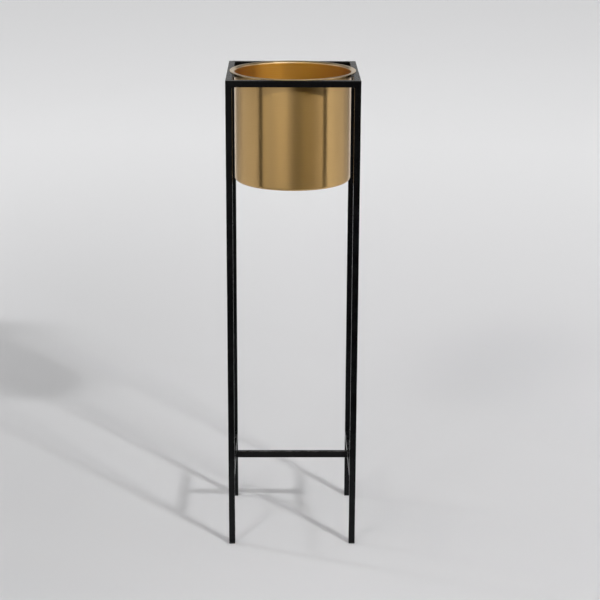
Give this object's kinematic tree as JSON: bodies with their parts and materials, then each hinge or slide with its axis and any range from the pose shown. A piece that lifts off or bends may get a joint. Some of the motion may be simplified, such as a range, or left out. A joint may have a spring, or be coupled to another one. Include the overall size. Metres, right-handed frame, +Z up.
{
  "type": "tall floor planter",
  "caption": "Tall square stand of slim black tube with a round brass-finish pot that drops into its top ring and lifts out.",
  "frame": {"origin": "on the floor under the middle of the stand", "axes": "+Z up, the front faces -Y, +X to the right of someone looking at the front"},
  "size_m": [0.27, 0.27, 1.0014],
  "materials": {
    "black_coat": "satin black powder coat on welded steel tube",
    "plug_plastic": "moulded black plastic",
    "brass_finish": "satin brass, brushed round the pot"
  },
  "bodies": {
    "stand": {"front_left_leg": "black_coat", "front_right_leg": "black_coat", "rear_right_leg": "black_coat", "rear_left_leg": "black_coat", "front_top_rail": "black_coat", "right_top_rail": "black_coat", "rear_top_rail": "black_coat", "left_top_rail": "black_coat", "left_stretcher": "black_coat", "right_stretcher": "black_coat", "cross_stretcher": "black_coat", "front_left_foot_plug": "plug_plastic", "front_right_foot_plug": "plug_plastic", "rear_right_foot_plug": "plug_plastic", "rear_left_foot_plug": "plug_plastic"},
    "pot": {"pot": "brass_finish"}
  },
  "joints": [
    {"name": "pot_lift", "type": "slide", "parent": "stand", "child": "pot", "axis": [0, 0, 1], "range_m": [0, 0.25]}
  ]
}
